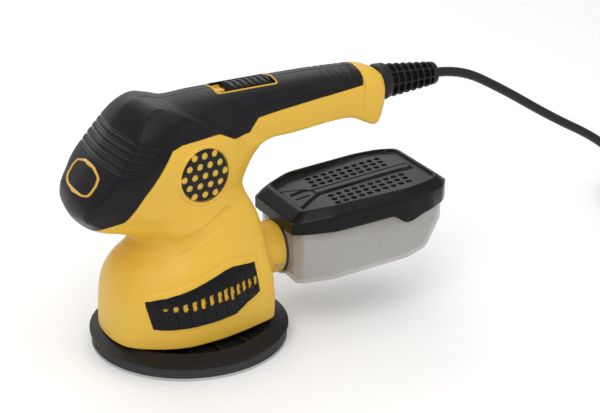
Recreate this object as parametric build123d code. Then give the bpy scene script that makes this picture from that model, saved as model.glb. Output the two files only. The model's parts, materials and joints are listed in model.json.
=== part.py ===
from build123d import *
import math
import os

# Random orbital sander with a top handle, a side-entry dust box and a mains cord.
# Millimetres. +X runs to the rear of the handle, +Z is up, Y is the mirror normal of the
# housing. The origin is on the motor axis, on the sanding face.

# Sanding pad
disc_d = 125.0              # nominal abrasive disc
pad_lip_r = 63.5            # outer lip of the pad plate
pad_top_z = 13.2
hook_t = 1.5
foam_top_z = 7.6
hole_circle_d = 65.0        # eight dust holes
hole_count = 8
hole_r = 4.5

# Motor line
orbit = 1.2                 # offset of the pad axis from the motor axis
pad_pin_r = 4.97            # eccentric pin that carries the pad bearing
brake_r = 41.0              # rubber ring that drags on the pad
shaft_r = 4.0
fan_z = 24.0
plate_z = 37.0              # lower bearing plate
stator_r = 26.5
stator_z0 = 52.0
stator_z1 = 86.0
comm_z0 = 97.0
comm_z1 = 108.0
brush_z = 102.5
top_bearing_z = 113.0
running_gap = 0.03          # radial clearance of the two running fits

# Housing: closed horizontal sections (height, front x, rear x, half width, rear squareness)
body_sections = [
    (15.5, -56.0, 50.0, 43.5, 2.9),
    (30.0, -55.5, 51.0, 44.0, 2.9),
    (47.0, -53.0, 50.0, 42.5, 2.8),
    (60.0, -49.0, 48.0, 39.0, 2.6),
    (72.0, -42.5, 46.0, 35.0, 2.5),
    (86.0, -37.5, 42.5, 33.0, 2.4),
    (104.0, -36.5, 34.5, 32.5, 2.3),
    (122.0, -36.0, 42.0, 31.5, 2.3),
    (132.0, -30.0, 50.0, 22.0, 2.3),
]
# Motor head: upright sections across X (x, low z, high z, half width, corner radius)
head_sections = [
    (-73.0, 97.0, 121.0, 12.0, 9.0),
    (-70.0, 91.0, 131.0, 20.0, 14.0),
    (-64.0, 87.0, 143.0, 26.0, 18.0),
    (-52.0, 83.5, 154.0, 31.0, 20.0),
    (-36.0, 84.0, 162.0, 34.0, 20.0),
    (-18.0, 90.0, 163.5, 34.0, 20.0),
    (2.0, 100.0, 163.5, 27.0, 18.0),
]
# Handle, the same way
handle_sections = [
    (-12.0, 112.0, 163.0, 27.0, 17.0),
    (18.0, 117.0, 164.0, 20.5, 13.0),
    (42.0, 125.0, 165.0, 18.0, 12.0),
    (62.0, 131.0, 165.5, 17.5, 12.0),
    (92.0, 134.0, 165.5, 17.5, 12.0),
    (118.0, 131.0, 164.5, 18.0, 12.0),
    (134.0, 128.5, 160.0, 17.0, 11.0),
    (142.0, 133.0, 156.0, 13.0, 8.0),
]
wall = 3.2
section_points = 16
grip_t = 1.4                # soft skin moulded over the yellow shell
# Lower edge of the soft grip, seen from the side (x, z), from the nose to the handle's rear
grip_edge = [(-80, 94), (-62, 95), (-52, 97), (-42, 103), (-31, 115), (-22, 127), (-15, 138),
             (0, 141), (17, 141), (26, 136), (38, 138), (43, 146), (72, 151), (117, 156.5)]
cap_top_x = -31.0           # rear edge of the front cap, at the top and at the bottom
cap_low_x = -50.0

# Side cooling vent, seen from the side (x, z)
vent_outline = [(-47, 52), (-25, 54), (-4.5, 58), (9, 63.5), (26, 64.5), (31, 44), (23, 35),
                (16, 29.5), (-25, 29.5), (-40, 32), (-43, 37)]
vent_slots = 13
vent_slot_pitch = 5.1
vent_slot_x = -37.5
grille_x = 0.5
grille_z = 121.0
grille_r = 15.8
boss_r = 18.5
boss_y = 33.4

# Switch on top of the handle
recess = (19.5, 61.0, 10.5)  # front x, rear x, half width
slider_x0 = 29.5
slider_x1 = 59.0
slider_half_w = 8.5
slider_travel = 8.0

# Dust outlet and dust box
outlet_z = 50.3
outlet_r = 17.0
outlet_x1 = 76.0
box_plan = [(63.5, 22.2), (68, 25.6), (88, 32.5), (140, 35.2), (158, 33.6), (171, 26.6)]
box_side = [(63.5, 29.5), (88, 32), (140, 40), (153, 44), (171, 63), (172.5, 74), (63.5, 66)]
box_wall = 1.8
lid_wall = 1.2
lid_plan = [(62, 24), (67, 27.5), (88, 35), (140, 37.5), (158, 36), (176, 27)]
lid_top = [(62, 73), (88, 77.5), (140, 80.5), (176, 83)]
lid_low = [(62, 68.3), (84, 68.8), (128, 71.5), (136, 66), (140, 66), (152, 70), (176, 73.5)]

# Cord: route of the free stretch, then the coil beside the landing point
cord_d = 6.3
cord_floor_z = 3.8
cord_route = [(178, 0, 150), (198, 0, 150), (232, 0, 131.5), (275, 0, 104), (316, 0, 81.5),
              (342, 0, 58), (362, 0, 31.5), (381, 0, 11.5), (400, 0, cord_floor_z),
              (423, 0, cord_floor_z)]
coil_centre = (423.0, 44.8)
coil_r_in = 22.0
coil_r_out = 48.0
coil_z0 = 0.6
coil_z1 = 13.4
tie_wall = 0.6
tail_route = [(423, 0, 10.2), (443, 0, 10.2), (462, 0, 13), (481, 0, 13)]
plug_x = 481.0
plug_z = 13.0
plug_length = 34.0
pin_length = 19.0
pin_r = 2.4
pin_spacing = 19.0


# ---------------------------------------------------------------- helpers

def signed_power(value, power):
    return math.copysign(abs(value) ** power, value)


def body_section(section, inset, z):
    """Egg-shaped closed section: elliptical nose, squarer rear."""
    _, front, rear, half, square = section
    middle = -4.0
    points = []
    for i in range(section_points):
        angle = 2 * math.pi * (i + 0.5) / section_points
        c, s = math.cos(angle), math.sin(angle)
        power = 2 / square if c > 0 else 1.0
        reach = rear - inset - middle if c > 0 else middle - front - inset
        side = signed_power(s, power)
        points.append((middle + reach * signed_power(c, power), (half - inset) * side, z))
    return make_face(Wire([Edge.make_spline([Vector(*p) for p in points], periodic=True)]))


def body_loft(inset):
    faces = [body_section(s, inset, s[0]) for s in body_sections]
    if inset > 0:
        first, last = body_sections[0], body_sections[-1]
        faces[0] = body_section(first, inset, first[0] - 4)
        faces[-1] = body_section(last, inset, last[0] - inset)
    return loft(faces)


def box_loft(sections, inset):
    """Loft of rounded rectangles across X, closed at both ends."""
    faces = []
    last = len(sections) - 1
    for i, (x, low, high, half, radius) in enumerate(sections):
        shift = inset if i == 0 else -inset if i == last else 0
        centre = Plane(origin=(x + shift, 0, (low + high) / 2), x_dir=(0, 1, 0), z_dir=(1, 0, 0))
        size = (2 * (half - inset), high - low - 2 * inset)
        faces.append(centre * RectangleRounded(*size, max(radius - inset, 2.0)))
    return loft(faces)


def side_prism(points, y0, y1):
    """Closed outline in the XZ plane, drawn out from y0 to y1."""
    face = make_face(Polyline(*[(x, y0, z) for x, z in points], close=True))
    return extrude(face, amount=abs(y1 - y0), dir=(0, 1 if y1 > y0 else -1, 0))


def plan_prism(points, z0, z1):
    """Outline given by its half, mirrored over y = 0, drawn up from z0 to z1."""
    ring = list(points) + [(x, -y) for x, y in reversed(points)]
    face = make_face(Polyline(*[(x, y, z0) for x, y in ring], close=True))
    return extrude(face, amount=z1 - z0, dir=(0, 0, 1))


def disc(radius, z0, z1, x=0.0, y=0.0):
    return Pos(x, y, (z0 + z1) / 2) * Cylinder(radius, z1 - z0)


def ring(outer, inner, z0, z1, x=0.0):
    return disc(outer, z0, z1, x) - disc(inner, z0 - 1, z1 + 1, x)


def block(x0, x1, y0, y1, z0, z1):
    centre = ((x0 + x1) / 2, (y0 + y1) / 2, (z0 + z1) / 2)
    return Pos(*centre) * Box(x1 - x0, y1 - y0, z1 - z0)


def rod_y(radius, y0, y1, x, z):
    return Pos(x, (y0 + y1) / 2, z) * Rot(90, 0, 0) * Cylinder(radius, abs(y1 - y0))


def rod_x(radius, x0, x1, y, z):
    return Pos((x0 + x1) / 2, y, z) * Rot(0, 90, 0) * Cylinder(radius, x1 - x0)


def half(side):
    """Everything on one side of the mirror plane: side is +1 or -1."""
    return block(-120, 220, 0, 120, -20, 220) if side > 0 else block(-120, 220, -120, 0, -20, 220)


def save(name, *shapes):
    solids = []
    for shape in shapes:
        solids.extend(shape.solids())
    keep = solids[0] if len(solids) == 1 else Compound(solids)
    export_step(keep, f"parts/{name}.step")


# ---------------------------------------------------------------- housing

screw_spots = [(-44.0, 112.0), (12.0, 133.0), (66.0, 144.0), (108.0, 140.5), (40.0, 74.0),
               (-45.5, 44.0)]
screw_r = 1.9
screw_head_r = 3.4


def layer(inset):
    solid = body_loft(inset) + box_loft(head_sections, inset)
    return solid + box_loft(handle_sections, inset)


def grip_region():
    """Side-view area above the grip's lower edge, as wide as the tool."""
    top = [(117, 180), (-80, 180)]
    return side_prism(list(grip_edge) + top, -60, 60)


def cap_region():
    return side_prism([(-90, 80), (cap_low_x, 80), (cap_top_x, 170), (-90, 170)], -60, 60)


def vent_region(side):
    return side_prism(vent_outline, side * 25, side * 60)


def vent_slot_tools(side, width, height):
    tools = []
    for i in range(vent_slots):
        x = vent_slot_x + i * vent_slot_pitch
        tools.append(block(x - width / 2, x + width / 2, min(side * 20, side * 60),
                           max(side * 20, side * 60), 46 - height / 2, 46 + height / 2))
    return tools


def grille_holes():
    """Hexagonal packing of holes that stay inside the round grille."""
    pitch = 5.4
    spots = []
    for row in range(-3, 4):
        for col in range(-3, 4):
            x = (col + 0.5 * (row % 2)) * pitch
            z = row * pitch * 0.87
            if math.hypot(x, z) < grille_r - 3.2:
                spots.append((grille_x + x, grille_z + z))
    return spots


def housing_ribs():
    """What is left solid inside: webs, bearing seat, shelves for the switch and screw posts."""
    webs = block(-60, 60, -60, 60, 56, 58) + block(-60, 60, -60, 60, 80, 82)
    webs -= disc(stator_r, 50, 90)
    seat = block(-60, 60, -60, 60, top_bearing_z + 2, top_bearing_z + 4)
    seat += disc(14, top_bearing_z, top_bearing_z + 7)
    seat -= disc(11, top_bearing_z - 1, top_bearing_z + 8)
    ledge = block(-60, 60, -60, 60, plate_z + 3, plate_z + 5) - disc(36, plate_z, plate_z + 9)
    shelves = [block(x, x + 3, -30, 30, 110, 139) for x in (26, 52)]
    shelves.append(block(116, 126, -30, 30, 120, 136))
    posts = [rod_y(4.6, -60, 60, x, z) for x, z in screw_spots]
    return [webs, seat, ledge, *shelves, *posts]


def screw_depths(outer):
    """How far out the surface lies over each screw, on the +Y side."""
    return [(x, z, (rod_y(2, 0, 60, x, z) & outer).bounding_box().max.Y) for x, z in screw_spots]


def housing_screw_parts(depths):
    """Self-tapping screws along Y, heads sunk in the +Y half."""
    screws = []
    for x, z, surface in depths:
        head_y = surface - 4.0
        slots = [block(x - 2.4, x + 2.4, head_y - 1.2, head_y + 1, z - 0.5, z + 0.5),
                 block(x - 0.5, x + 0.5, head_y - 1.2, head_y + 1, z - 2.4, z + 2.4)]
        shank = rod_y(screw_r, head_y - 20, head_y - 2.0, x, z)
        screws.append(rod_y(screw_head_r, head_y - 2.4, head_y, x, z) + shank - slots)
    return screws


def housing_cuts(depths):
    """Everything that is taken out of both halves."""
    tools = [
        rod_x(outlet_r, 43, 90, 0, outlet_z),                         # dust outlet seat
        rod_x(outlet_r - 2.4, 30, 90, 0, outlet_z),
        recess_tool(),
        block(slider_x0 - slider_travel + 3, slider_x1 - 3, -4.2, 4.2, 150, 170),
        rod_x(9.3, 136.2, 160, 0, 149.5),                             # boot mouth
        block(132.8, 136.3, -11.2, 11.2, 138.4, 160.6),                # boot flange groove
        disc(brake_r, 10, 17.5),                                      # brake ring seat
    ]
    for side in (1, -1):
        tools.append(rod_y(grille_r, side * (boss_y - 2.2), side * 50, grille_x, grille_z))
        tools.append(rod_y(grille_r - 3, side * 20, side * 50, grille_x, grille_z))
        tools.extend(vent_slot_tools(side, 2.2, 7.0))
    for x, z, surface in depths:
        tools.append(rod_y(screw_head_r, surface - 6.4, 60, x, z))
        tools.append(rod_y(screw_r, surface - 24.0, surface - 6.4, x, z))
    return tools


def recess_tool():
    return block(recess[0], recess[1], -recess[2], recess[2], 162.6, 180)


def grille(side):
    plate = rod_y(grille_r, side * (boss_y - 2.2), side * (boss_y + 0.4), grille_x, grille_z)
    return plate - [rod_y(1.9, side * 20, side * 60, x, z) for x, z in grille_holes()]


def housing():
    outer, middle, inner = layer(0), layer(grip_t), layer(wall)
    boss = rod_y(boss_r, -boss_y, boss_y, grille_x, grille_z)
    around_boss = rod_y(boss_r + 0.4, -60, 60, grille_x, grille_z)
    skin_tool = grip_region() - middle - around_boss
    vent_tools = {side: vent_region(side) - middle for side in (1, -1)}
    strip_tool = block(58, 80, -8.2, 8.2, 120, 140) - middle
    shell = (outer + boss) - (inner - housing_ribs())
    depths = screw_depths(outer)
    shell -= [skin_tool, strip_tool, *vent_tools.values(), *housing_cuts(depths)]
    heads = [rod_y(screw_head_r, 0, 60, x, z) for x, z in screw_spots]
    grip = (outer & skin_tool) - [recess_tool(), *heads]
    cap = grip & cap_region()
    rear_grip = grip - cap_region()
    proud = layer(-0.7)
    for side, name in ((1, "left"), (-1, "right")):
        save(f"housing_{name}", biggest(shell & half(side), 400))
        save(f"grip_{name}", biggest(rear_grip & half(side), 300))
        vent = proud & vent_tools[side]
        save(f"side_vent_{name}", vent - vent_slot_tools(side, 3.0, 8.5))
        save(f"round_grille_{name}", grille(side))
    save("head_cap", biggest(cap, 300))
    save("head_badge", (proud & badge_prism()) - outer)
    save("handle_strip", proud & strip_tool)
    save("housing_screws", *housing_screw_parts(depths))


def biggest(shape, least):
    """Only the solids above a volume, so that trimming leaves no crumbs."""
    keep = [s for s in shape.solids() if s.volume > least]
    return keep[0] if len(keep) == 1 else Compound(keep)


def badge_prism():
    """Six-sided frame, drawn along X through the nose of the cap."""
    outer = [(0, 15), (10, 8), (12, -3), (7, -14), (-7, -14), (-12, -3), (-10, 8)]
    inner = [(0.82 * y, 0.82 * z) for y, z in outer]
    place = Plane(origin=(-90, 0, 118), x_dir=(0, 1, 0), z_dir=(1, 0, 0))
    frame = extrude(make_face(Polyline(*outer, close=True)), amount=36)
    return place * (frame - extrude(make_face(Polyline(*inner, close=True)), amount=36))


# ---------------------------------------------------------------- motor and drive

def bearing(inner_r, outer_r, z0, width, x=0.0, balls=9):
    """Deep-groove ball bearing: two rings with a ball row between them."""
    third = (outer_r - inner_r) / 3
    gap = third * 0.5
    inner_ring = ring(inner_r + third - gap / 2, inner_r, z0, z0 + width, x)
    outer_ring = ring(outer_r, outer_r - third + gap / 2, z0, z0 + width, x)
    pitch_r = (inner_r + outer_r) / 2
    ball_r = (outer_r - inner_r) / 2 - third + gap / 2 - 0.02
    parts = [inner_ring, outer_ring]
    for i in range(balls):
        angle = 2 * math.pi * i / balls
        spot = (x + pitch_r * math.cos(angle), pitch_r * math.sin(angle), z0 + width / 2)
        parts.append(Pos(*spot) * Sphere(ball_r))
    return parts


def motor_shaft():
    shaft = disc(shaft_r, 17.0, 122.0)
    return shaft + disc(3.0, 122.0, 123.5)


def eccentric():
    """Counterweight with the offset pin that carries the pad."""
    weight = disc(25, 17.6, 22.5) - block(-2, 30, -30, 30, 17, 23)
    hub = disc(9.5, 17.6, 23.6) + disc(pad_pin_r, 7.2, 17.6, orbit)
    return weight + hub - [disc(shaft_r, 17.0, 25), disc(2.5, 7, 15, orbit)]


def pad_screw():
    """Socket screw and washer that keep the pad bearing on the offset pin."""
    screw = disc(7.2, 6.2, 7.2, orbit) + disc(4.6, 2.4, 6.2, orbit) + disc(2.5, 7, 15, orbit)
    socket = extrude(RegularPolygon(2.4, 6), amount=2.4)
    return screw - Pos(orbit, 0, 2.2) * socket


def fan():
    body = disc(36, fan_z, fan_z + 1.8) + disc(9, fan_z, fan_z + 11)
    for i in range(11):
        blade = block(10, 35.5, -0.8, 0.8, fan_z + 1, fan_z + 10)
        body += Rot(0, 0, i * 360 / 11) * blade
    return body - disc(shaft_r, fan_z - 1, fan_z + 12)


def armature_core():
    core = disc(15, stator_z0 + 1, stator_z1 - 1) - disc(shaft_r, 40, 100)
    for i in range(12):
        angle = math.radians(30 * i)
        spot = Pos(12.2 * math.cos(angle), 12.2 * math.sin(angle), 69) * Rot(0, 0, 30 * i)
        core -= spot * Box(6.4, 2.6, 60)
    return core


def armature_windings():
    coils = ring(13.5, shaft_r, stator_z0 - 5, stator_z0 + 1)
    coils += ring(13.5, shaft_r, stator_z1 - 1, stator_z1 + 7)
    for i in range(12):
        angle = math.radians(30 * i)
        spot = Pos(11.5 * math.cos(angle), 11.5 * math.sin(angle), 69) * Rot(0, 0, 30 * i)
        coils += spot * Box(4.6, 2.2, stator_z1 - stator_z0)
    return coils


def commutator():
    drum = ring(10, shaft_r, comm_z0, comm_z1)
    for i in range(24):
        angle = math.radians(15 * i)
        spot = Pos(9.8 * math.cos(angle), 9.8 * math.sin(angle), 103) * Rot(0, 0, 15 * i)
        drum -= spot * Box(1.4, 0.5, 20)
    return drum


def wedge(radius, z0, z1, half_angle, centre_angle):
    """Sector of a cylinder about the motor axis."""
    reach = radius * 1.5
    a0, a1 = (math.radians(centre_angle + s * half_angle) for s in (-1, 1))
    mid = math.radians(centre_angle)
    points = [(0, 0), (reach * math.cos(a0), reach * math.sin(a0)),
              (2 * reach * math.cos(mid), 2 * reach * math.sin(mid)),
              (reach * math.cos(a1), reach * math.sin(a1))]
    face = make_face(Polyline(*[(x, y, z0) for x, y in points], close=True))
    return disc(radius, z0, z1) & extrude(face, amount=z1 - z0, dir=(0, 0, 1))


def stator():
    core = ring(stator_r, 21.5, stator_z0, stator_z1)
    for angle in (90, 270):
        core += wedge(22, stator_z0, stator_z1, 38, angle)
        core += wedge(19.2, stator_z0, stator_z1, 62, angle)
    return core - disc(15.6, stator_z0 - 1, stator_z1 + 1)


def field_coils():
    """One saddle coil round each pole: two bars and two end turns."""
    coils = []
    for angle in (90, 270):
        coil = (wedge(21.2, stator_z0 - 4, stator_z1 + 4, 66, angle)
                - disc(19.5, stator_z0 - 5, stator_z1 + 5)
                - wedge(40, stator_z0 - 0.2, stator_z1 + 0.2, 40, angle))
        coils.append(coil)
    return coils


def brush_gear():
    """Holders, carbons and rolled springs, on both sides of the commutator."""
    holders, carbons, springs = [], [], []
    for side in (1, -1):
        tube = block(-4.6, 4.6, 12.0, 26.0, brush_z - 4.2, brush_z + 4.2)
        tube -= block(-3.2, 3.2, 10, 30, brush_z - 3.0, brush_z + 3.0)
        carbon = block(-3.1, 3.1, 10.1, 20.0, brush_z - 2.9, brush_z + 2.9)
        spring = Pos(0, 22.9, brush_z) * Rot(0, 90, 0) * (Cylinder(2.8, 5) - Cylinder(1.2, 6))
        turn = Rot(0, 0, 0 if side > 0 else 180)
        holders.append(turn * tube)
        carbons.append(turn * carbon)
        springs.append(turn * spring)
    return holders, carbons, springs


def bearing_plate():
    """Cross plate that carries the lower bearing and closes the fan chamber."""
    plate = ring(38.2, 11, plate_z, plate_z + 3)
    plate += ring(14, 11, plate_z, plate_z + 8)
    for i in range(6):
        angle = math.radians(60 * i + 30)
        plate -= disc(5.5, plate_z - 1, plate_z + 9, 25 * math.cos(angle), 25 * math.sin(angle))
    return plate


def motor():
    save("motor_shaft", motor_shaft())
    save("eccentric", eccentric())
    save("fan", fan())
    save("armature_core", armature_core())
    save("armature_windings", armature_windings())
    save("commutator", commutator())
    save("stator_core", stator())
    save("field_coils", *field_coils())
    holders, carbons, springs = brush_gear()
    save("brush_holders", *holders)
    save("carbon_brushes", *carbons)
    save("brush_springs", *springs)
    save("bearing_plate", bearing_plate())
    save("lower_bearing", *bearing(shaft_r + running_gap, 11, plate_z, 7))
    save("upper_bearing", *bearing(shaft_r + running_gap, 11, top_bearing_z, 7))


# ---------------------------------------------------------------- pad

def hole_tools(z0, z1):
    tools = []
    for i in range(hole_count):
        angle = 2 * math.pi * (i + 0.5) / hole_count
        x = orbit + hole_circle_d / 2 * math.cos(angle)
        tools.append(disc(hole_r, z0, z1, x, hole_circle_d / 2 * math.sin(angle)))
    return tools


def pad_plate():
    """Stiff plate: conical rim, ribbed recess on top and the bearing hub."""
    profile = [(17, foam_top_z), (pad_lip_r - 1.5, foam_top_z), (pad_lip_r, 8.8),
               (pad_lip_r, 9.9), (54, pad_top_z), (52.4, pad_top_z), (51.6, 10.2),
               (17, 10.2), (17, 14.6), (13, 14.6), (13, foam_top_z)]
    face = make_face(Polyline(*[(r, 0, z) for r, z in profile], close=True))
    plate = revolve(face, axis=Axis.Z)
    for i in range(16):
        rib = block(16.5, 52, -0.9, 0.9, 10, 12.4)
        plate += Rot(0, 0, i * 22.5) * rib
    plate = Pos(orbit, 0, 0) * plate
    for tool in hole_tools(foam_top_z - 1, 16):
        plate -= tool
    return plate


def pad():
    foam = disc(62.2, hook_t, foam_top_z, orbit) - disc(15, hook_t - 1, foam_top_z + 1, orbit)
    hook = disc(disc_d / 2, 0, hook_t, orbit) - disc(15, -1, hook_t + 1, orbit)
    for tool in hole_tools(-1, foam_top_z + 1):
        foam -= tool
        hook -= tool
    save("pad_plate", pad_plate())
    save("pad_foam", foam)
    save("hook_layer", hook)
    save("pad_bearing", *bearing(pad_pin_r + running_gap, 13.0, foam_top_z, 6.4, orbit))
    save("pad_screw", pad_screw())
    save("brake_ring", ring(brake_r, brake_r - 3.2, pad_top_z + 0.5, 17.4))


# ---------------------------------------------------------------- switch and wiring

def switch_parts():
    x0, x1, half_w = recess
    bezel = block(x0, x1, -half_w, half_w, 162.6, 165.4)
    bezel -= block(x0 + 1.6, x1 - 0.6, -half_w + 1.6, half_w - 1.6, 163.6, 170)
    bezel -= block(slider_x0 - slider_travel + 3, slider_x1 - 3, -4.2, 4.2, 160, 170)
    button = block(slider_x0, slider_x1, -slider_half_w, slider_half_w, 163.9, 166.6)
    for i in range(7):
        x = slider_x0 + 3 + i * 3.9
        button += block(x, x + 1.8, -slider_half_w + 0.6, slider_half_w - 0.6, 166, 168.0)
    stem = block(slider_x0 + 9, slider_x1 - 9, -3.6, 3.6, 157.6, 164)
    body = block(26, 55, -9, 9, 139, 155) + block(30, 51, -6, 6, 134.8, 139.5)
    lever = block(36, 48, -3, 3, 155.3, 157.6)
    save("switch_bezel", bezel)
    save("switch_button", button + stem)
    save("switch_slide_link", lever)
    save("switch_body", body)
    capacitor = block(74, 92, -7.5, 7.5, 141, 153)
    save("capacitor", fillet(capacitor.edges(), 1.2))
    clamp = block(117, 125, -10, 10, 153.2, 156.2) - block(110, 130, -2, 2, 150, 153.4)
    sides = (-7, 7)
    save("cord_clamp", clamp - [disc(1.6, 150, 160, 121, y) for y in sides])
    save("clamp_screws", *[disc(1.6, 142, 156.2, 121, y) + disc(3, 156.2, 158.2, 121, y) for y in sides])
    pillar = block(115.5, 126.5, -11, 11, 136, 146.8)
    save("clamp_base", pillar - [disc(1.6, 142, 148, 121, y) for y in sides])
    save("inner_cord", rod_x(cord_d / 2, 100, 178, 0, 150))


def cord_boot():
    """Tapered strain relief with windows in two rows and a flange inside the handle."""
    sleeve = Pos(156.5, 0, 150) * Rot(0, 90, 0) * Cone(9.2, 6.2, 43)
    sleeve += rod_x(7.2, 175, 178, 0, 150)
    sleeve += block(133, 136, -11, 11, 138.6, 160.4) & rod_x(11, 132, 137, 0, 149.5)
    for i in range(6):
        x = 142.5 + i * 5.6
        for angle in (0, 45, 90, 135):
            window = Box(3.2, 3.0, 40)
            sleeve -= Pos(x, 0, 150) * Rot(angle, 0, 0) * window
    sleeve += rod_x(4.4, 133, 178, 0, 150)
    return sleeve - rod_x(cord_d / 2, 130, 180, 0, 150)


# ---------------------------------------------------------------- dust box

def outlet():
    tube = rod_x(outlet_r, 43, outlet_x1, 0, outlet_z)
    return tube - rod_x(outlet_r - 2.4, 40, 80, 0, outlet_z)


def inset_plan(points, inset):
    middle = 118.0
    return [(x + math.copysign(inset, middle - x), y - inset) for x, y in points]


def dust_box():
    solid = plan_prism(box_plan, 20, 90) & side_prism(box_side, -60, 60)
    inner_side = [(x + math.copysign(box_wall, 118 - x), z + (box_wall if z < 64 else 3))
                  for x, z in box_side]
    cavity = plan_prism(inset_plan(box_plan, box_wall), 20, 90) & side_prism(inner_side, -60, 60)
    tub = solid - cavity
    collar = rod_x(outlet_r + 2.0, 61.5, 67, 0, outlet_z) - block(61, 68, -12, 12, 68.1, 70)
    tub += collar
    return tub - rod_x(outlet_r + 0.35, 55, 70, 0, outlet_z)


def lid():
    outline = [(x, z) for x, z in lid_top] + [(x, z) for x, z in reversed(lid_low)]
    solid = plan_prism(lid_plan, 50, 100) & side_prism(outline, -60, 60)
    hollow_plan = inset_plan(lid_plan, lid_wall)
    under = [(40, 50)] + [(x, z - 4) for x, z in lid_top]
    under[1] = (50, under[1][1])
    under[-1] = (190, under[-1][1])
    solid -= plan_prism(hollow_plan, 40, 100) & side_prism(under + [(190, 50)], -60, 60)
    tray = [(70, 21), (90, 29), (138, 31.5), (156, 30), (168, 23)]
    floor = [(60, 71), (88, 75.3), (140, 78.3), (176, 80.8), (176, 95), (60, 95)]
    solid -= plan_prism(tray, 40, 100) & side_prism(floor, -60, 60)
    for side in (1, -1):
        for row in range(3):
            for col in range(10):
                x = 86 + col * 7.2 + row * 2.4
                solid -= disc(1.5, 60, 95, x, side * (12 + row * 5.2))
    return solid


def dust_parts():
    save("dust_outlet", outlet())
    save("dust_box", dust_box())
    save("dust_box_lid", lid())
    seal = rod_x(outlet_r + 0.35, 62.5, 66, 0, outlet_z)
    save("box_seal", seal - rod_x(outlet_r + 0.05, 60, 72, 0, outlet_z))
    pleats = block(80, 160, -26, 26, 69.0, 70.4)
    for i in range(9):
        pleats += block(84 + i * 8, 87 + i * 8, -24, 24, 58, 69.2)
    save("dust_filter", pleats)


# ---------------------------------------------------------------- cord

def tube(route, name):
    """Straight runs joined by tangent arcs, each as large as its runs allow."""
    points = [Vector(*p) for p in route]
    radii = []
    for a, b, c in zip(points, points[1:], points[2:]):
        turn = math.radians((b - a).get_angle(c - b))
        shorter = min((b - a).length, (c - b).length)
        radii.append(0.45 * shorter / math.tan(turn / 2))
    print(name, "arc radii", [round(r) for r in radii])
    path = FilletPolyline(*points, radius=radii)
    start = Plane(origin=points[0], z_dir=points[1] - points[0])
    solid = sweep(start * Circle(cord_d / 2), path=path)
    expected = path.length * math.pi * cord_d ** 2 / 4
    print(name, "length", round(path.length), "volume ratio", round(solid.volume / expected, 4))
    return solid


def cord_parts():
    cx, cy = coil_centre
    save("mains_cord", tube(cord_route, "mains_cord"))
    save("cord_tail", tube(tail_route, "cord_tail"))
    coil = disc(coil_r_out, coil_z0, coil_z1, cx, cy) - disc(coil_r_in, 0, 20, cx, cy)
    save("cord_coil", coil)
    x0, x1 = cx - coil_r_out - 0.2, cx - coil_r_in + 0.6
    strap = block(x0 - tie_wall, x1 + tie_wall, cy - 4, cy + 4, 0, coil_z1 + tie_wall)
    strap -= block(x0, x1, cy - 5, cy + 5, coil_z0, coil_z1)
    save("cord_tie", strap)
    profile = Plane.YZ * Pos(0, plug_z) * SlotOverall(37, 26)
    save("plug_body", Pos(plug_x, 0, 0) * extrude(profile, amount=plug_length))
    face = plug_x + plug_length
    pins = [rod_x(pin_r, face, face + pin_length, s * pin_spacing / 2, plug_z) for s in (-1, 1)]
    save("plug_pins", *pins)


os.makedirs("parts", exist_ok=True)
housing()
motor()
pad()
switch_parts()
save("cord_boot", cord_boot())
dust_parts()
cord_parts()
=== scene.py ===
import json
import math
import bpy
import bmesh
import numpy as np
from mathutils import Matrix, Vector
from mathutils.bvhtree import BVHTree


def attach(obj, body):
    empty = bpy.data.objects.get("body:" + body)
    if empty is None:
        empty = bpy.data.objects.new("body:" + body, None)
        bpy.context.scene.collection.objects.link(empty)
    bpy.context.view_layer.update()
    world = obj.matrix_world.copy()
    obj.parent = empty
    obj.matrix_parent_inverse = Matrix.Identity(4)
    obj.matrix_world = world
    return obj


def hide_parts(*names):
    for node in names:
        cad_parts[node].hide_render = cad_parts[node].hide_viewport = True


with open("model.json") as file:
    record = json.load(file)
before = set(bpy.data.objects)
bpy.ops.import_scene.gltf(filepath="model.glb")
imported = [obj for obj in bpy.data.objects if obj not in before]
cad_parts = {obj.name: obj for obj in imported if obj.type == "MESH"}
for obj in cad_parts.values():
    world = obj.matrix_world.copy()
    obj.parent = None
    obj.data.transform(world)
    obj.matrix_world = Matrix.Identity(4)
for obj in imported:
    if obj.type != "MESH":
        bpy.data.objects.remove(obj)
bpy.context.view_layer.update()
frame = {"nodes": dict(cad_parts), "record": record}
mm = 0.001
print("frame loaded")

# ---- camera and light

view = {"azimuth": -27.2, "elevation": 22.5, "distance": 1.060, "target": (0.0742, -0.013, 0.080),
        "lens": 100, "sensor": 36}


def addCamera():
    a, e = math.radians(view["azimuth"]), math.radians(view["elevation"])
    back = Vector((math.sin(a) * math.cos(e), -math.cos(a) * math.cos(e), math.sin(e)))
    data = bpy.data.cameras.new("camera")
    data.lens, data.sensor_width, data.clip_start = view["lens"], view["sensor"], 0.05
    cam = bpy.data.objects.new("camera", data)
    bpy.context.scene.collection.objects.link(cam)
    cam.location = Vector(view["target"]) + back * view["distance"]
    cam.rotation_euler = back.to_track_quat("Z", "Y").to_euler()
    bpy.context.scene.camera = cam


lamps = {  # place, size and power of each soft light, all aimed at the middle of the tool
    "key": ((-0.55, -0.75, 1.15), 0.8, 6.6),
    "fill": ((0.95, -0.9, 0.75), 1.1, 2.6),
    "back": ((0.25, 1.1, 1.0), 1.2, 5.2),
    "top": ((0.1, 0.0, 1.6), 1.4, 6.6),
}
lampAim = (0.05, 0, 0.08)


def addLamps():
    for name, (place, size, power) in lamps.items():
        data = bpy.data.lights.new(name, "AREA")
        data.size, data.energy, data.shape = size, power, "SQUARE"
        lamp = bpy.data.objects.new(name, data)
        bpy.context.scene.collection.objects.link(lamp)
        lamp.location = place
        aim = Vector(place) - Vector(lampAim)
        lamp.rotation_euler = aim.to_track_quat("Z", "Y").to_euler()


addCamera()
addLamps()

# ---- material tools


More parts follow.
